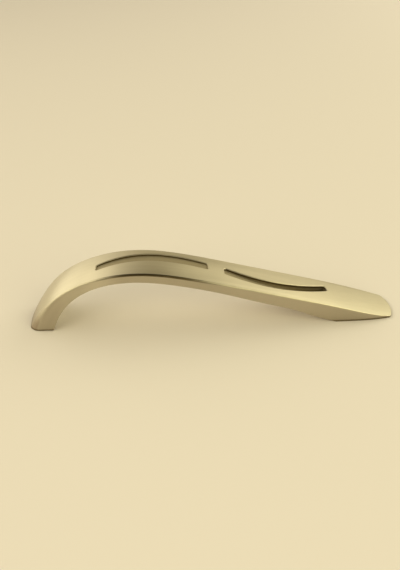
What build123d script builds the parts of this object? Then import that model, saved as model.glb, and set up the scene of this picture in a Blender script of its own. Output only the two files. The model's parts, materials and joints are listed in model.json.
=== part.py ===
from build123d import *
import math
import os

# Bridge pull handle, cast in one piece. Sizes are in millimetres and angles in degrees.
# X runs along the bar, Y across it and Z away from the drawer front.
# The origin lies on the mounting face, midway between the two screw holes.

# Screw fixing: two blind tapped holes, drawn at the diameter of their walls
hole_spacing = 128.0
tapping_drill = 3.3
thread_depth = 5.0
drill_point_angle = 118.0
hole_countersink = 0.5

# Bar: an arch with its crest nearer the leg, then a long ramp
bar_width = 19.7
crown = 0.8
edge_radius = 0.7
crest_height = 28.0
crest_thickness = 4.75
crest_setback = 40.5

# Leg at the left end
leg_overhang = 6.5
leg_length = 10.7
leg_corner_radius = 3.6
leg_corner_place = 10.0
leg_corner_run = 11.0
sole_chamfer = 0.25

# Wedge foot at the right end
foot_overhang = 24.2
heel_setback = 2.5
tip_thickness = 0.6
tip_edge_radius = 0.2
tip_edge_run = 80.0
tip_end_radius = 17.0
tip_corner_radius = 2.6
tip_crown = 0.3
tip_crown_run = 45.0
foot_narrowing = 20.0
foot_side_radius = 100.0

# Two curved grooves in the top face, each given at its start, middle and end
groove_rim_radius = 0.35
long_groove_x = (-17.0, 9.4, 29.4)
long_groove_y = (-1.7, 2.8, 1.4)
long_groove_width = (3.6, 5.6, 4.5)
long_groove_depth = (0.7, 1.1, 0.8)
long_groove_corner = 0.6
short_groove_x = (36.4, 58.5, 82.4)
short_groove_y = (0.4, -3.1, 2.9)
short_groove_width = (4.6, 4.1, 4.0)
short_groove_depth = (0.9, 1.9, 3.1)
short_groove_corner = 1.0

# Free-form lines of the side view, as shares of each stretch's run and rise
outer_leg_shares = [(0.10, 0.286), (0.255, 0.585), (0.51, 0.845)]
outer_ramp_shares = [(0.20, 0.116), (0.38, 0.30), (0.56, 0.493), (0.80, 0.767)]
inner_leg_shares = [(0.03, 0.14), (0.185, 0.525), (0.43, 0.815)]
inner_ramp_shares = [(0.22, 0.105), (0.415, 0.285), (0.65, 0.555), (0.80, 0.725), (0.88, 0.85), (0.955, 0.95)]
inner_crest_shift = 1.5

# Working margins of the loft and of the trimming blocks
section_count = 20
line_overrun = 3.0
sole_overrun = 12.0
trim_clearance = 0.03
floor_steps = 8

left_hole_x = -hole_spacing / 2
right_hole_x = hole_spacing / 2
crest_x = left_hole_x + crest_setback
leg_outer_x = left_hole_x - leg_overhang
leg_inner_x = leg_outer_x + leg_length
tip_x = right_hole_x + foot_overhang
heel_x = right_hole_x - heel_setback


def between(start, end, shares):
    """Side-view points at shares of the run and rise between two (x, z) points."""
    run = end[0] - start[0]
    rise = end[1] - start[1]
    return [(start[0] + share_x * run, start[1] + share_z * rise) for share_x, share_z in shares]


def side_line(foot, crest, end, leg_shares, ramp_shares, before, after):
    """A smooth side-view line from the leg's foot over the crest to the ramp's end."""
    points = [before, *between(foot, crest, leg_shares), crest]
    points += [*between(crest, end, ramp_shares), end, after]
    return Spline([(x, 0, z) for x, z in points])


outer_line = side_line(
    foot=(leg_outer_x, 0),
    crest=(crest_x, crest_height),
    end=(tip_x, tip_thickness),
    leg_shares=outer_leg_shares,
    ramp_shares=outer_ramp_shares,
    before=(leg_outer_x - line_overrun / 2, -line_overrun),
    after=(tip_x + line_overrun, 0),
)
inner_line = side_line(
    foot=(leg_inner_x, 0),
    crest=(crest_x - inner_crest_shift, crest_height - crest_thickness),
    end=(heel_x, 0),
    leg_shares=inner_leg_shares,
    ramp_shares=inner_ramp_shares,
    before=(leg_inner_x - sole_overrun / 3, -sole_overrun),
    after=(tip_x + line_overrun, -sole_overrun / 2),
)


def half_width(x):
    """Half the bar's width, which narrows on a wide arc towards the tip."""
    run = max(0.0, x - (tip_x - foot_narrowing))
    return bar_width / 2 - foot_side_radius + math.sqrt(foot_side_radius**2 - run**2)


def crown_rise(x):
    """How far the crown stands over the side edges: full along the bar, flatter at the tip."""
    near_tip = max(0.0, 1 - (tip_x - x) / tip_crown_run)
    return crown - (crown - tip_crown) * near_tip


def corner_radius(distance):
    """Radius of the top corners: fullest partway up the leg, crisp on the bar, finest at the tip."""
    near_leg = max(0.0, 1 - abs(distance - leg_corner_place) / leg_corner_run)
    near_tip = max(0.0, 1 - (outer_line.length - distance) / tip_edge_run)
    return (
        edge_radius
        + (leg_corner_radius - edge_radius) * near_leg
        - (edge_radius - tip_edge_radius) * near_tip
    )


def bar_section(distance):
    """Outline across the bar at a distance along its outer line: flat below, crowned on top."""
    fraction = distance / outer_line.length
    top = outer_line @ fraction
    across = Plane(origin=top, x_dir=(0, 1, 0), z_dir=outer_line % fraction)
    bottom = inner_line.intersect(across).sort_by_distance(top)[0]
    depth = (top - Vector(*bottom)).length
    half = half_width(top.X)
    rise = crown_rise(top.X)
    sides = Polyline((half, -rise), (half, -depth), (-half, -depth), (-half, -rise))
    crowned_top = ThreePointArc((-half, -rise), (0, 0), (half, -rise))
    outline = make_face(sides + crowned_top)
    corners = outline.vertices().sort_by(Axis.Y)[-2:]
    return across * fillet(corners, corner_radius(distance))


def bar():
    """The wave-shaped bar, lofted from the leg over the crest to the tip."""
    step = outer_line.length / (section_count - 1)
    return loft([bar_section(step * i) for i in range(section_count)])


def sole_trim():
    """Block on the drawer's side of the mounting face."""
    length = 2 * (tip_x - leg_outer_x)
    return Box(length, 2 * bar_width, 2 * sole_overrun, align=(Align.CENTER, Align.CENTER, Align.MAX))


def tip_trim():
    """Block around the arched end of the foot."""
    narrowing_x = tip_x - foot_narrowing
    side_circle = Circle(foot_side_radius + trim_clearance)
    end = Pos(tip_x - tip_end_radius, 0) * Circle(tip_end_radius)
    for side in (-1, 1):
        end &= Pos(narrowing_x, side * (bar_width / 2 - foot_side_radius)) * side_circle
    end = fillet(end.vertices().sort_by(Axis.X)[-2:], tip_corner_radius)
    sheet = Pos(tip_x, 0) * Rectangle(2 * tip_end_radius, 2 * bar_width) - end
    return extrude(sheet, sole_overrun, both=True)


def outer_z(x):
    """Height of the bar's outer line at a place along the bar."""
    return outer_line.intersect(Plane(origin=(x, 0, 0), z_dir=(1, 0, 0)))[0].Z


def groove_cutter(xs, ys, widths, depths, corner):
    """Cutter for a curved groove whose rims are arcs and whose floor follows the bar."""
    places = list(zip([crest_x + x for x in xs], ys, widths))
    far_rim = ThreePointArc(*[(x, y + width / 2) for x, y, width in places])
    near_rim = ThreePointArc(*[(x, y - width / 2) for x, y, width in places])
    ends = [Line(near_rim @ share, far_rim @ share) for share in (0, 1)]
    plan = make_face([far_rim, near_rim, *ends])
    plan = fillet(plan.vertices(), corner)
    depth_line = Spline([(x, depth) for (x, _, _), depth in zip(places, depths)])
    floor_points = []
    for step in range(floor_steps + 1):
        place = depth_line @ (step / floor_steps)
        floor_points.append((place.X, outer_z(place.X) - place.Y))
    floor = Spline(floor_points)
    lid = 2 * crest_height
    above = Polyline(floor @ 1, ((floor @ 1).X, lid), ((floor @ 0).X, lid), floor @ 0)
    side = make_face([floor, above])
    return extrude(plan, lid) & extrude(Plane.XZ * side, bar_width, both=True)


def screw_hole():
    """Blind tapped hole with a drilled point and a small countersink, opening downwards."""
    radius = tapping_drill / 2
    point = radius / math.tan(math.radians(drill_point_angle / 2))
    outline = Polyline(
        (0, 0),
        (radius + hole_countersink, 0),
        (radius, hole_countersink),
        (radius, thread_depth),
        (0, thread_depth + point),
        close=True,
    )
    return revolve(Plane.XZ * make_face(outline), Axis.Z)


def handle():
    """The whole handle: bar, trimmed feet, grooves with eased rims, eased sole and screw holes."""
    shape = bar() - sole_trim() - tip_trim()
    shape -= groove_cutter(
        long_groove_x, long_groove_y, long_groove_width, long_groove_depth, long_groove_corner
    )
    shape -= groove_cutter(
        short_groove_x, short_groove_y, short_groove_width, short_groove_depth, short_groove_corner
    )
    top_face = max(shape.faces(), key=lambda face: len(face.inner_wires()))
    rims = [edge for wire in top_face.inner_wires() for edge in wire.edges()]
    shape = fillet(rims, groove_rim_radius)
    leg_sole = shape.faces().filter_by(Plane.XY).sort_by(Axis.X)[0]
    shape = chamfer(leg_sole.edges(), sole_chamfer)
    for hole_x in (left_hole_x, right_hole_x):
        shape -= Pos(hole_x, 0) * screw_hole()
    return shape


os.makedirs("parts", exist_ok=True)
export_step(handle(), "parts/handle.step")
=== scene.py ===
"""The looks of a cast bridge pull handle: its satin finish, its screw threads and its studio.

Everything is in metres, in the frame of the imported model: the bar runs along X, the screw holes
lie on X, and the feet stand on Z = 0. The handle's front side faces -Y.
"""

import json
import math

import bmesh
import bpy
import numpy as np
from mathutils import Matrix, Vector
from mathutils.bvhtree import BVHTree


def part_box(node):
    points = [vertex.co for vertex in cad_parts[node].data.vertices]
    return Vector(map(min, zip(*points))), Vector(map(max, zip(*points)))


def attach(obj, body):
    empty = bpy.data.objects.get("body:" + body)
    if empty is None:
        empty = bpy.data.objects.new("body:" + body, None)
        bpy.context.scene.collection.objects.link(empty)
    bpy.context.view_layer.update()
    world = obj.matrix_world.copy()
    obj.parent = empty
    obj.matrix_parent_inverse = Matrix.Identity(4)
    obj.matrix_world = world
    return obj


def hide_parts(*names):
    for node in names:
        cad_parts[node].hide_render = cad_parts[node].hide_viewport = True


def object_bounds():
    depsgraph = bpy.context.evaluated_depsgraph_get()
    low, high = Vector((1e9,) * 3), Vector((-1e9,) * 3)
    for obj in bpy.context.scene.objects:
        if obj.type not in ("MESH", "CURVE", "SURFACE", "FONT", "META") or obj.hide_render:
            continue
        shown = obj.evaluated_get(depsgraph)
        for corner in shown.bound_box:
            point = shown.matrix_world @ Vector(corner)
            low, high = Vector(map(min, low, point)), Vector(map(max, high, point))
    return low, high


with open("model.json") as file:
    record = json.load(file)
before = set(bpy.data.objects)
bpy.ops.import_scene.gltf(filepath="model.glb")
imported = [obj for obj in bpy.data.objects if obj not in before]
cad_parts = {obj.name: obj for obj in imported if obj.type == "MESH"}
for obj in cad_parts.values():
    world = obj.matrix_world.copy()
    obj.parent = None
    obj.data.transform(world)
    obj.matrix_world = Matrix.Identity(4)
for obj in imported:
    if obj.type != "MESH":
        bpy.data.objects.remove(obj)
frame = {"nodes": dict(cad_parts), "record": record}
cad_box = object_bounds()

MM = 0.001


def mm(*lengths):
    """Lengths that are given in millimetres, in metres."""
    return tuple(length * MM for length in lengths)


# --- camera ---------------------------------------------------------------------------------------
camera_place = Vector(mm(-11.345, -207.508, 154.869))
camera_turn = math.radians(3.85)        # towards +X
camera_tilt = math.radians(34.0)        # below the horizon
camera_roll = math.radians(0.5)
camera_nearest = 0.01
sensor_size = 36.0
lens_length = 36.893

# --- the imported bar, as it is read ----------------------------------------------------------------
weld_distance = 0.002 * MM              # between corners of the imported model's loose triangles
walk_step = 1.0 * MM                    # between stations along the bar
walk_plane = -7.5 * MM                  # an upright plane through the bar that misses both grooves
walk_start_height = 1.0 * MM
grain_run_on = 15.0 * MM                # the grain goes on straight past both ends of the bar
bar_half_width = (cad_box[1].y - cad_box[0].y) / 2
crown_rise = 0.8 * MM                   # of the top's middle over its edges
tip_crown_rise = 0.3 * MM
tip_crown_run = 45.0 * MM               # from where the crown flattens to the tip

# --- screw threads: M4 coarse, 60 degree flanks ---------------------------------------------------
thread_pitch = 0.7 * MM
thread_root_radius = 2.0 * MM
thread_root_flat = thread_pitch / 8
thread_flank_angle = math.radians(30)
thread_embed = 0.03 * MM                # how far the ridge's back lies in the metal
thread_mouth_radius = 2.15 * MM
thread_mouth_depth = 0.15 * MM
thread_length = 3.8 * MM
thread_run_out = 0.5                    # turns over which the ridge grows at each of its ends
thread_end_size = 0.02                  # of the full ridge, at its very ends
thread_turn_steps = 40
drill_point_half_angle = math.radians(59.0)
drill_mouth_margin = 0.6 * MM           # round a hole's wall, past its countersink
drill_highest = 8.0 * MM                # above the end of any hole's wall

# --- brushing: streaks, each (length along the bar, width, fineness of detail) --------------------
fine_streaks = (9 * MM, 0.16 * MM, 4.0)
broad_streaks = (24 * MM, 1.3 * MM, 3.0)
streak_contrast = 0.6
streak_middle = 0.5                     # of the streaks' noise, and of the plate's tones
fine_height, broad_height = 0.7, 0.3    # shares of the scratches' height
scratch_height = 0.003 * MM
fine_tone, broad_tone = 0.35, 0.5       # how far the streaks change the plate's tone
plate_tones = [(0.25, (0.52, 0.475, 0.36)), (0.75, (0.62, 0.565, 0.44))]
satin_roughness = 0.33
streak_roughness = 0.12
groove_roughness = 0.27                 # added down in the grooves
leg_edge_roughness = 0.2                # added on the leg's rounded edges

# --- where the finish and its painted light and shade change --------------------------------------
# A pair holds the limits between which a tone comes in or goes out. A stretch of four holds those
# between which it comes in, and those between which it goes out again.

# along X
groove_stretch = mm(-51, -46, 64, 69)
shoulder_stretch = mm(-61, -49, -41, -29)
shoulder_highlight_stretch = mm(-48, -41, -36, -29)
crest_stretch = mm(-45, -27, -6, 12)
ramp_highlight_stretch = mm(5, 20, 45, 70)
ramp_start = mm(-5, 15)
back_start = mm(8, 24)
leg_end = mm(-45, -30)
foot_end = mm(-60, -55)

# across the bar, from its middle
edge_strip = mm(7, 8)
crest_edge_line = mm(9.1, 9.5)
back_edge_line = mm(7.6, 9.2)
highlight_side = mm(-5, 1)

# up from the table
sole_height = mm(0.4, 1.2)
foot_height = mm(1, 9)
leg_edge_height = mm(10, 20)

# down from the top, and up from the bar's middle line
edge_depth = mm(0.65, 1.0)
groove_rim = mm(0.15, 0.5)
groove_wall_foot = mm(0.8, 1.5)
groove_bottom = mm(1.8, 2.8)
upper_half = mm(0, 0.4)

# how far a face turns to the side, and how far the sole's faces lie level, both from 0 to 1
groove_wall_turn = (0.3, 0.7)
side_turn = (0.85, 1.0)
ramp_edge_turn = (0.08, 0.2, 0.5, 0.8)
leg_edge_turn = (0.15, 0.4, 0.85, 0.97)
sole_level = (0.75, 0.9)

shoulder_shade_lift = 0.75                  # share of the sides' painted shade that is lifted at the shoulder, where it is lit
foot_share, leg_edge_share = 0.55, 0.3  # of the leg's painted shade

# --- layers over the plate, real tones and painted light and shade, the lowest first, each (place, strength, colour) ---
finish_and_painted_light_layers = [
    # a painted highlight on the front of the top, over the ramp and the shoulder
    ("hand_sheen", 0.6, (0.68, 0.62, 0.48)),
    # painted shade on the bar's side faces
    ("sides", 0.47, (0.36, 0.31, 0.235)),
    # painted shade along the back edge, from the ramp on
    ("back_edge", 0.4, (0.36, 0.31, 0.235)),
    # painted shade: darker towards the leg's foot, and a dulled highlight on the leg's rounded edge
    ("leg_tarnish", 1.0, (0.32, 0.25, 0.185)),
    # a painted highlight along the ramp's rounded edges
    ("ramp_edge", 0.7, (0.86, 0.79, 0.61)),
    # a painted dark line along the crest's rounded edges, standing in for a dark reflection
    ("crest_edge", 0.85, (0.09, 0.06, 0.015)),
    # the grooves' duller cast metal, partly, and painted shade in them, partly
    ("groove", 0.8, (0.38, 0.32, 0.21)),
    # painted shade deep in the grooves
    ("groove_bottom", 0.6, (0.13, 0.095, 0.04)),
    # painted shade on the grooves' walls, near their rims
    ("groove_wall", 0.85, (0.11, 0.075, 0.025)),
    # a painted contact shadow along the sole's edge
    ("sole_line", 0.8, (0.13, 0.095, 0.045)),
]

# --- tapped metal and table -----------------------------------------------------------------------
tapped_colour = (0.6, 0.6, 0.59)
tapped_roughness = 0.28
speck_roughness = 0.15
speck_scale = 6000.0
speck_detail = 2.0
table_colour = (0.87, 0.81, 0.78)
table_radius = 3.0
table_corners = 96

# --- soft lights round the table, each (name, azimuth, elevation, strength, colour) ---------------
# An azimuth is counted from +Y towards +X. Angles are in degrees, and a window's strength in watts.
glow_reach = (0.2, 1.0)                 # cosines off a glow's middle at which it ends and is full
glows = [
    ("left_wall", -75, 10, 1.18, (1.0, 0.95, 0.73)),
    ("left_corner", -45, 10, 0.60, (1.0, 0.85, 0.56)),
    ("right_wall", 60, 10, 0.42, (1.0, 0.88, 0.50)),
    ("right_front_wall", 110, 10, 0.36, (1.0, 0.82, 0.66)),
]
window_distance = 1.5
window_size = (0.83, 1.0)
windows = [
    ("window_left_front", -135, 30, 6.75, (1.0, 0.89, 0.58)),
    ("window_left", -100, 30, 2.55, (1.0, 0.98, 0.62)),
    ("window_right_back", 35, 26, 1.83, (1.0, 0.92, 0.67)),
    ("window_right", 65, 30, 4.20, (1.0, 0.99, 0.68)),
    ("window_right_front", 135, 30, 5.80, (1.0, 0.97, 0.52)),
]


# --- node graphs ----------------------------------------------------------------------------------


class Value:
    """A node's output. Arithmetic on values adds the Math nodes that work it out."""

    def __init__(self, graph, socket):
        self.graph = graph
        self.socket = socket

    def maths(self, operation, *operands):
        inputs = dict(enumerate(operands))
        return self.graph.node("ShaderNodeMath", {"operation": operation}, inputs)[0]

    def __add__(self, other):
        return self.maths("ADD", self, other)

    def __sub__(self, other):
        return self.maths("SUBTRACT", self, other)

    def __mul__(self, other):
        return self.maths("MULTIPLY", self, other)

    def __truediv__(self, other):
        return self.maths("DIVIDE", self, other)

    def __radd__(self, other):
        return self.maths("ADD", other, self)

    def __rsub__(self, other):
        return self.maths("SUBTRACT", other, self)

    def __rmul__(self, other):
        return self.maths("MULTIPLY", other, self)

    def __rtruediv__(self, other):
        return self.maths("DIVIDE", other, self)

    def size(self):
        return self.maths("ABSOLUTE", self)

    def smaller(self, other):
        return self.maths("MINIMUM", self, other)

    def rising(self, low, high):
        """0 at low and below, 1 at high and above, and a smooth step in between."""
        settings = {"interpolation_type": "SMOOTHSTEP"}
        inputs = {"Value": self, "From Min": low, "From Max": high}
        return self.graph.node("ShaderNodeMapRange", settings, inputs)[0]

    def falling(self, low, high):
        """1 at low and below, 0 at high and above, and a smooth step in between."""
        return 1 - self.rising(low, high)

    def within(self, start, full, fade, end):
        """1 from full to fade, 0 before start and after end, with smooth steps in between."""
        return self.rising(start, full) * self.falling(fade, end)


class Outputs:
    """The outputs of one node, by name, identifier or place."""

    def __init__(self, graph, node):
        self.graph = graph
        self.node = node

    def __getitem__(self, key):
        return Value(self.graph, pick_socket(self.node.outputs, key))


def pick_socket(sockets, key):
    """The socket with that place, identifier or name."""
    if isinstance(key, int):
        return sockets[key]
    by_identifier = [socket for socket in sockets if socket.identifier == key]
    return by_identifier[0] if by_identifier else sockets[key]


class Graph:
    """A node tree, of a material, the world or a shape."""

    def __init__(self, tree):
        self.tree = tree

    def node(self, kind, settings=None, inputs=None):
        """Adds a node: its settings are set first, then the values or links of its sockets."""
        made = self.tree.nodes.new(kind)
        for name, setting in (settings or {}).items():
            if name == "stops":
                set_stops(made.color_ramp, setting)
            else:
                setattr(made, name, setting)
        for key, value in (inputs or {}).items():
            socket = pick_socket(made.inputs, key)
            if isinstance(value, Value):
                self.tree.links.new(value.socket, socket)
            else:
                socket.default_value = value
        return Outputs(self, made)


def set_stops(ramp, stops):
    """Gives a colour ramp these (place, colour) stops."""
    while len(ramp.elements) > 1:
        ramp.elements.remove(ramp.elements[-1])
    for i, (place, colour) in enumerate(stops):
        element = ramp.elements[0] if i == 0 else ramp.elements.new(place)
        element.position = place
        element.color = opaque(colour)


def opaque(colour):
    """A colour with full alpha."""
    return (*colour, 1.0)


def new_material(name):
    """An empty node-based material and its graph."""
    material = bpy.data.materials.new(name)
    material.use_nodes = True
    material.node_tree.nodes.clear()
    return material, Graph(material.node_tree)


def metal(graph, colour, roughness, **more):
    """Ends a material's graph in a metal surface."""
    shader = graph.node("ShaderNodeBsdfPrincipled", None, {
        "Base Color": colour, "Metallic": 1.0, "Roughness": roughness, **more})
    graph.node("ShaderNodeOutputMaterial", None, {"Surface": shader["BSDF"]})


def add_object(name, data):
    """A new object in the scene, at the origin."""
    made = bpy.data.objects.new(name, data)
    bpy.context.scene.collection.objects.link(made)
    return made


# --- the bar's own line ---------------------------------------------------------------------------


def walk_bar(node):
    """Walks inside the metal from the leg to the tip.

    Returns the bar's middle line in XZ, and half its thickness at each of the line's points.
    """
    mesh = node.data
    corners = [vertex.co for vertex in mesh.vertices]
    surface = BVHTree.FromPolygons(corners, [face.vertices for face in mesh.polygons])

    def reach(point, direction):
        start = Vector((point.x, walk_plane, point.y))
        return surface.ray_cast(start, Vector((direction.x, 0.0, direction.y)))[3]

    def centred(point, heading):
        """The middle between the bar's faces, square to the heading, and half their distance."""
        side = Vector((-heading.y, heading.x))
        outer, inner = reach(point, side), reach(point, -side)
        if outer is None or inner is None:
            return None
        return point + side * (outer - inner) / 2, (outer + inner) / 2

    low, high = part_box(node.name)
    before_leg = Vector((low.x - walk_step, walk_plane, walk_start_height))
    leg_face = surface.ray_cast(before_leg, Vector((1, 0, 0)))[0]
    heading = Vector((0.0, 1.0))
    found = centred(Vector((leg_face.x + walk_step, walk_start_height)), heading)
    middles, halves = [found[0]], [found[1]]
    while middles[-1].x < high.x - walk_step:
        found = centred(middles[-1] + heading * walk_step, heading)
        if found is None:
            break
        heading = (found[0] - middles[-1]).normalized()
        middles.append(found[0])
        halves.append(found[1])
    return np.array(middles), np.array(halves)


def crown_at(x, across):
    """How far the crowned top stands over its own edges at a place along and across the bar."""
    near_tip = np.clip(1 - (cad_box[1].x - x) / tip_crown_run, 0.0, 1.0)
    rise = crown_rise - (crown_rise - tip_crown_rise) * near_tip
    return rise * (1 - (across / bar_half_width) ** 2)


def run_on(point, before):
    """A point straight on from a line's last one, as far as the grain goes on past the bar."""
    way = point - before
    return point + way / np.linalg.norm(way) * grain_run_on


def grain_coordinates(points, line, halves):
    """How the brushing runs through each point.

    Returns the ways along the bar, across it and out from its middle line, and the depth that
    the point lies under the top.
    """
    path = np.vstack([run_on(line[0], line[1]), line, run_on(line[-1], line[-2])])
    starts, runs = path[:-1], np.diff(path, axis=0)
    lengths = np.linalg.norm(runs, axis=1)
    way = np.concatenate([[0.0], np.cumsum(lengths)])
    flat = points[:, [0, 2]]
    shares = np.clip(((flat[:, None] - starts) * runs).sum(2) / lengths**2, 0.0, 1.0)
    feet = starts + shares[:, :, None] * runs
    nearest = np.linalg.norm(flat[:, None] - feet, axis=2).argmin(axis=1)
    row = np.arange(len(points))
    run, off = runs[nearest], flat - feet[row, nearest]
    out = (off[:, 1] * run[:, 0] - off[:, 0] * run[:, 1]) / lengths[nearest]
    along = way[nearest] + shares[row, nearest] * lengths[nearest]
    x, across = points[:, 0], points[:, 1]
    top = np.interp(along, way[1:-1], halves) + crown_at(x, across) - crown_at(x, walk_plane)
    return np.stack([along, across, out], axis=1), top - out


# --- the handle's mesh ----------------------------------------------------------------------------


def tapped_hole_rows(drill_radius, drill_top):
    """(radius, height) rows of a tapped blind hole, from its mouth to the end of its point."""
    full = thread_mouth_depth + thread_length + thread_pitch
    step = thread_root_radius - drill_radius
    return [
        (thread_mouth_radius, 0.0),
        (thread_root_radius, thread_mouth_depth),
        (thread_root_radius, full),
        (drill_radius, full + step),
        (drill_radius, drill_top),
        (0.0, drill_top + drill_radius / math.tan(drill_point_half_angle)),
    ]


def recut_hole(bm, centre, drill_radius):
    """Takes out a drilled hole's faces and builds the wider hole that its thread is cut to."""

    def off_axis(vertex):
        return math.hypot(vertex.co.x - centre.x, vertex.co.y - centre.y)

    def turn(vertex):
        return math.atan2(vertex.co.y - centre.y, vertex.co.x - centre.x)

    def on_wall(vertex):
        return abs(off_axis(vertex) - drill_radius) < weld_distance and vertex.co.z < drill_highest

    def in_hole(vertex):
        near = off_axis(vertex) < drill_radius + drill_mouth_margin
        return near and vertex.co.z < drill_top + drill_radius

    def place(radius, angle, height):
        return (centre.x + radius * math.cos(angle), centre.y + radius * math.sin(angle), height)

    drill_top = max(vertex.co.z for vertex in bm.verts if on_wall(vertex))
    drilled = [face for face in bm.faces if all(in_hole(vertex) for vertex in face.verts)]
    bmesh.ops.delete(bm, geom=drilled, context="FACES")
    rim = [v for v in bm.verts if in_hole(v) and any(edge.is_boundary for edge in v.link_edges)]
    rim.sort(key=turn)
    angles = [turn(vertex) for vertex in rim]
    rows = tapped_hole_rows(drill_radius, drill_top)
    for vertex, angle in zip(rim, angles):
        vertex.co = place(rows[0][0], angle, 0.0)
    lower = rim
    for radius, height in rows[1:-1]:
        upper = [bm.verts.new(place(radius, angle, height)) for angle in angles]
        for i, vertex in enumerate(lower):
            after = (i + 1) % len(lower)
            bm.faces.new((lower[after], vertex, upper[i], upper[after])).smooth = True
        lower = upper
    point = bm.verts.new((centre.x, centre.y, rows[-1][1]))
    for i, vertex in enumerate(lower):
        bm.faces.new((lower[(i + 1) % len(lower)], vertex, point)).smooth = True


def add_attribute(mesh, name, kind, domain, field, values):
    """Keeps an array of numbers on the mesh's points or corners, for its material to read."""
    mesh.attributes.new(name, kind, domain).data.foreach_set(field, values.ravel())


def make_handle(node, name, holes):
    """The handle as one closed mesh.

    The node's loose triangles are joined and keep their normals, and the holes are widened to
    take their threads.
    """
    bm = bmesh.new()
    bm.from_mesh(node.data)
    true_normal = bm.loops.layers.float_vector.new("true_normal")
    normals = [normal.vector.copy() for normal in node.data.corner_normals]
    for face in bm.faces:
        for loop in face.loops:
            loop[true_normal] = normals[loop.index]
    bmesh.ops.remove_doubles(bm, verts=bm.verts, dist=weld_distance)
    for centre, drill_radius in holes:
        recut_hole(bm, centre, drill_radius)
    mesh = bpy.data.meshes.new(name)
    bm.to_mesh(mesh)
    bm.free()
    kept = np.zeros(len(mesh.loops) * 3)
    mesh.attributes["true_normal"].data.foreach_get("vector", kept)
    kept = kept.reshape(-1, 3)
    mesh.attributes.remove(mesh.attributes["true_normal"])
    mesh.normals_split_custom_set(kept.tolist())
    places = np.zeros(len(mesh.vertices) * 3)
    mesh.vertices.foreach_get("co", places)
    grain, sunk = grain_coordinates(places.reshape(-1, 3), *walk_bar(node))
    add_attribute(mesh, "facing", "FLOAT_VECTOR", "CORNER", "vector", np.abs(kept))
    add_attribute(mesh, "grain", "FLOAT_VECTOR", "POINT", "vector", grain)
    add_attribute(mesh, "sunk", "FLOAT", "POINT", "value", sunk)
    return add_object(name, mesh)


# --- the screw threads ----------------------------------------------------------------------------


def thread_tree():
    """A shape tree that winds a ridge along a helix on each point of its mesh, as a tap does."""
    tree = bpy.data.node_groups.new("cut_threads", "GeometryNodeTree")
    sockets = tree.interface
    sockets.new_socket("Hole Centres", in_out="INPUT", socket_type="NodeSocketGeometry")
    for name in ("Root Radius", "Depth", "Pitch", "Length", "Start Height", "Back Width",
                 "Crest Width", "Run Out", "End Size"):
        sockets.new_socket(name, in_out="INPUT", socket_type="NodeSocketFloat")
    sockets.new_socket("Turn Steps", in_out="INPUT", socket_type="NodeSocketInt")
    sockets.new_socket("Finish", in_out="INPUT", socket_type="NodeSocketMaterial")
    sockets.new_socket("Threads", in_out="OUTPUT", socket_type="NodeSocketGeometry")
    graph = Graph(tree)
    given = graph.node("NodeGroupInput")

    turns = given["Length"] / given["Pitch"]
    helix = graph.node("GeometryNodeCurveSpiral", None, {
        "Resolution": given["Turn Steps"], "Rotations": turns, "Height": given["Length"],
        "Start Radius": given["Root Radius"], "End Radius": given["Root Radius"]})
    upright = graph.node("GeometryNodeSetCurveNormal", {"mode": "Z_UP"}, {"Curve": helix["Curve"]})
    share = graph.node("GeometryNodeSplineParameter")["Factor"]
    turns_from_end = share.smaller(1 - share) * turns
    grown = (turns_from_end / given["Run Out"] + given["End Size"]).smaller(1.0)

    section = graph.node("GeometryNodeCurvePrimitiveQuadrilateral", {"mode": "TRAPEZOID"}, {
        "Height": given["Depth"], "Bottom Width": given["Back Width"],
        "Top Width": given["Crest Width"], "Offset": 0.0})
    turned = graph.node("GeometryNodeTransform", None, {
        "Geometry": section["Curve"], "Rotation": (0.0, 0.0, -math.pi / 2)})
    inward = graph.node("ShaderNodeCombineXYZ", None, {"X": given["Depth"] / 2})
    placed = graph.node("GeometryNodeTransform", None, {
        "Geometry": turned["Geometry"], "Translation": inward["Vector"]})

    ridge = graph.node("GeometryNodeCurveToMesh", None, {
        "Curve": upright["Curve"], "Profile Curve": placed["Geometry"],
        "Scale": grown, "Fill Caps": True})
    lift = graph.node("ShaderNodeCombineXYZ", None, {"Z": given["Start Height"]})
    lifted = graph.node("GeometryNodeTransform", None, {
        "Geometry": ridge["Mesh"], "Translation": lift["Vector"]})
    copies = graph.node("GeometryNodeInstanceOnPoints", None, {
        "Points": given["Hole Centres"], "Instance": lifted["Geometry"]})
    real = graph.node("GeometryNodeRealizeInstances", None, {"Geometry": copies["Instances"]})
    dressed = graph.node("GeometryNodeSetMaterial", None, {
        "Geometry": real["Geometry"], "Material": given["Finish"]})
    graph.node("NodeGroupOutput", None, {"Threads": dressed["Geometry"]})
    return tree


def make_threads(name, holes, finish):
    """The threads of all the holes as one plain mesh."""
    drill_radius = holes[0][1]
    depth = thread_root_radius + thread_embed - drill_radius
    back_width = thread_pitch - thread_root_flat
    values = {
        "Root Radius": thread_root_radius + thread_embed,
        "Depth": depth,
        "Pitch": thread_pitch,
        "Length": thread_length,
        "Start Height": thread_mouth_depth + back_width / 2,
        "Back Width": back_width,
        "Crest Width": back_width - 2 * depth * math.tan(thread_flank_angle),
        "Run Out": thread_run_out,
        "End Size": thread_end_size,
        "Turn Steps": thread_turn_steps,
        "Finish": finish,
    }
    centres = bpy.data.meshes.new("hole_centres")
    centres.from_pydata([centre for centre, _ in holes], [], [])
    maker = add_object("thread_maker", centres)
    modifier = maker.modifiers.new("cut_threads", "NODES")
    modifier.node_group = thread_tree()
    for item in modifier.node_group.interface.items_tree:
        if item.in_out == "INPUT" and item.name in values:
            modifier[item.identifier] = values[item.name]
    shapes = bpy.context.evaluated_depsgraph_get()
    mesh = bpy.data.meshes.new_from_object(maker.evaluated_get(shapes), depsgraph=shapes)
    bpy.data.objects.remove(maker)
    mesh.name = name
    return add_object(name, mesh)


# --- finishes -------------------------------------------------------------------------------------


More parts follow.
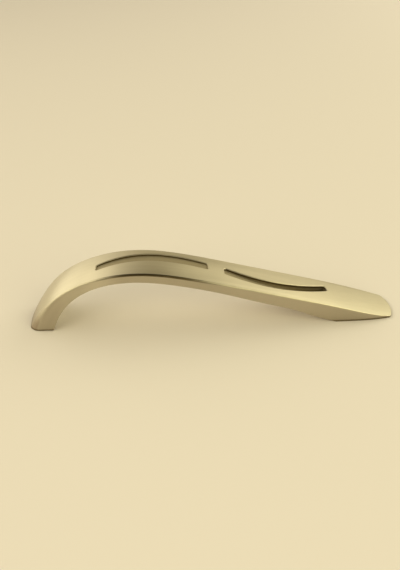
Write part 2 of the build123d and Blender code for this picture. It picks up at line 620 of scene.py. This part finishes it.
def finish_and_painted_light_places(x, z, across, out, sunk, sideways, level):
    """Where each layer of the finish and of its painted light and shade lies, from 0 to 1.

    They follow from the place along the bar and its height, the ways across the bar and out from
    its middle line, the depth under the top, and how far a face turns sideways or lies level.
    """
    off_edges = across.size().falling(*edge_strip)
    on_edges = 1 - off_edges
    edge_top = sunk.falling(*edge_depth)
    in_grooves = off_edges * x.within(*groove_stretch) * out.rising(*upper_half)
    # the grooves: duller cast metal, with painted shade over it
    groove = in_grooves * sunk.rising(*groove_rim)
    leg_edge = on_edges * x.falling(*leg_end) * sideways.within(*leg_edge_turn)
    # painted shade, darker towards the bottom of the leg
    leg_foot_shade = x.falling(*foot_end) * z.falling(*foot_height) * sideways.falling(*leg_edge_turn[2:])
    leg_tarnish = leg_foot_shade * foot_share + leg_edge * z.falling(*leg_edge_height) * leg_edge_share
    # the sides' painted shade is partly lifted at the shoulder, where the light falls on it
    side_shade_lifted = x.within(*shoulder_stretch) * shoulder_shade_lift
    # where the painted highlight lies along the bar, at the ramp and at the shoulder
    highlight_stretches = x.within(*ramp_highlight_stretch) + x.within(*shoulder_highlight_stretch)
    # the grooves' upper walls, where their painted shade lies
    wall = sideways.rising(*groove_wall_turn) * sunk.falling(*groove_wall_foot)
    return {
        "groove": groove,
        # painted shade on the grooves' walls
        "groove_wall": groove * wall,
        # painted shade where the grooves are deep
        "groove_bottom": in_grooves * sunk.rising(*groove_bottom),
        # painted shade on the side faces, less of it at the shoulder
        "sides": on_edges * sideways.rising(*side_turn) * (1 - side_shade_lifted),
        # a painted dark line, standing in for a dark reflection, along the crest's edges
        "crest_edge": x.within(*crest_stretch) * across.size().rising(*crest_edge_line) * edge_top,
        # painted shade along the back edge
        "back_edge": x.rising(*back_start) * across.rising(*back_edge_line) * edge_top,
        # a painted highlight along the ramp's rounded edges
        "ramp_edge": on_edges * x.rising(*ramp_start) * sideways.within(*ramp_edge_turn),
        # a painted highlight on the top's front, at the ramp and the shoulder
        "hand_sheen": highlight_stretches * across.falling(*highlight_side),
        "leg_edge": leg_edge,
        # painted shade on the leg's foot and its rounded edge
        "leg_tarnish": leg_tarnish,
        # a painted contact shadow along the sole's edge
        "sole_line": z.falling(*sole_height) * level.falling(*sole_level),
    }


def satin_metal():
    """Champagne nickel plate, brushed along the bar, with light and shade painted on by place.

    Its grooves are duller, and painted shade lies in them, on the sides, on the leg's foot and along
    the crest's and the back's edges, with a painted contact shadow along the sole and painted
    highlights on the ramp's edges and on the top's front at the ramp and the shoulder.
    """
    material, graph = new_material("satin_metal")

    def read(attribute):
        return graph.node("ShaderNodeAttribute", {"attribute_name": attribute})

    def parts(vector):
        return graph.node("ShaderNodeSeparateXYZ", None, {"Vector": vector})

    def streaks(length, width, detail):
        scaled = graph.node("ShaderNodeVectorMath", {"operation": "MULTIPLY"}, {
            0: grain, 1: (1 / length, 1 / width, 1 / width)})["Vector"]
        return graph.node("ShaderNodeTexNoise", {"noise_dimensions": "3D"}, {
            "Vector": scaled, "Scale": 1.0, "Detail": detail, "Roughness": streak_contrast})["Fac"]

    def mixed(share, first, second):
        return graph.node("ShaderNodeMix", {"data_type": "RGBA"}, {
            "Factor_Float": share, "A_Color": first, "B_Color": second})["Result_Color"]

    grain, facing = read("grain")["Vector"], parts(read("facing")["Vector"])
    spot = parts(graph.node("ShaderNodeTexCoord")["Object"])
    places = finish_and_painted_light_places(
        spot["X"], spot["Z"], parts(grain)["Y"], parts(grain)["Z"], read("sunk")["Fac"],
        facing["Y"], facing["Z"])

    fine, broad = streaks(*fine_streaks), streaks(*broad_streaks)
    off_fine, off_broad = fine - streak_middle, broad - streak_middle
    tone = streak_middle + off_fine * fine_tone + off_broad * broad_tone
    colour = graph.node("ShaderNodeValToRGB", {"stops": plate_tones}, {"Fac": tone})["Color"]
    # lays the real tones and the painted light and shade over the streaked plate
    for name, strength, layer_colour in finish_and_painted_light_layers:
        colour = mixed(places[name] * strength, colour, opaque(layer_colour))
    roughness = satin_roughness + off_broad * streak_roughness
    roughness += places["groove"] * groove_roughness + places["leg_edge"] * leg_edge_roughness
    height = fine * fine_height + broad * broad_height
    bump = graph.node("ShaderNodeBump", None, {
        "Strength": 1.0, "Distance": scratch_height, "Height": height})
    metal(graph, colour, roughness, Normal=bump["Normal"])
    return material


def tapped_metal():
    """The cast alloy as the tap leaves it."""
    material, graph = new_material("tapped_metal")
    spot = graph.node("ShaderNodeTexCoord")["Object"]
    speck = graph.node("ShaderNodeTexNoise", None, {
        "Vector": spot, "Scale": speck_scale, "Detail": speck_detail})["Fac"]
    metal(graph, opaque(tapped_colour), tapped_roughness + speck * speck_roughness)
    return material


def cream_table():
    """A plain matt cream surface."""
    material, graph = new_material("cream_table")
    shader = graph.node("ShaderNodeBsdfDiffuse", None, {"Color": opaque(table_colour)})
    graph.node("ShaderNodeOutputMaterial", None, {"Surface": shader["BSDF"]})
    return material


# --- studio ---------------------------------------------------------------------------------------


def make_table():
    """A round pale table top under the handle."""
    mesh = bpy.data.meshes.new("table")
    bm = bmesh.new()
    bmesh.ops.create_circle(bm, cap_ends=True, segments=table_corners, radius=table_radius)
    bm.to_mesh(mesh)
    bm.free()
    mesh.materials.append(cream_table())
    return add_object("table", mesh)


def towards(azimuth, elevation):
    """A direction from the handle."""
    turn, lift = math.radians(azimuth), math.radians(elevation)
    level = math.cos(lift)
    return Vector((math.sin(turn) * level, math.cos(turn) * level, math.sin(lift)))


def add_window(name, azimuth, elevation, power, colour):
    """A rectangular lamp aimed at the handle."""
    lamp = bpy.data.lights.new(name, "AREA")
    lamp.shape = "RECTANGLE"
    lamp.size, lamp.size_y = window_size
    lamp.energy = power
    lamp.color = colour
    way = towards(azimuth, elevation)
    holder = add_object(name, lamp)
    holder.location = way * window_distance
    holder.rotation_euler = way.to_track_quat("Z", "Y").to_euler()


def make_room():
    """A dark room with soft glows, each brightest in its own direction."""
    world = bpy.data.worlds.new("room")
    world.use_nodes = True
    world.node_tree.nodes.clear()
    graph = Graph(world.node_tree)

    def background(colour, strength):
        return graph.node("ShaderNodeBackground", None, {
            "Color": opaque(colour), "Strength": strength})["Background"]

    facing = graph.node("ShaderNodeTexCoord")["Generated"]
    dark = background((0.0, 0.0, 0.0), 0.0)
    room = dark
    for _, azimuth, elevation, strength, colour in glows:
        cosine = graph.node("ShaderNodeVectorMath", {"operation": "DOT_PRODUCT"}, {
            0: facing, 1: towards(azimuth, elevation)})["Value"]
        glow = graph.node("ShaderNodeMixShader", None, {
            0: cosine.rising(*glow_reach), 1: dark, 2: background(colour, strength)})["Shader"]
        room = graph.node("ShaderNodeAddShader", None, {0: room, 1: glow})["Shader"]
    graph.node("ShaderNodeOutputWorld", None, {"Surface": room})
    bpy.context.scene.world = world


def make_camera():
    """Looks down on the handle's front."""
    lens = bpy.data.cameras.new("camera")
    lens.sensor_width = sensor_size
    lens.lens = lens_length
    lens.clip_start = camera_nearest
    camera = add_object("camera", lens)
    camera.matrix_world = (
        Matrix.Translation(camera_place)
        @ Matrix.Rotation(-camera_turn, 4, "Z")
        @ Matrix.Rotation(math.pi / 2 - camera_tilt, 4, "X")
        @ Matrix.Rotation(camera_roll, 4, "Z")
    )
    bpy.context.scene.camera = camera


# --- the scene ------------------------------------------------------------------------------------

holes = [(Vector((*mount["pos_m"][:2], 0.0)), mount["dims"]["r_mm"] * MM)
         for mount in frame["record"]["mounts"] if mount["kind"] == "threaded_hole"]

handle = make_handle(frame["nodes"]["handle"], "brushed_handle", holes)
handle.data.materials.append(satin_metal())
threads = make_threads("screw_threads", holes, tapped_metal())

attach(handle, "root")
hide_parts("handle")
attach(threads, "root")

make_camera()
make_table()
make_room()
for window in windows:
    add_window(*window)
bpy.context.scene.view_settings.view_transform = "Standard"
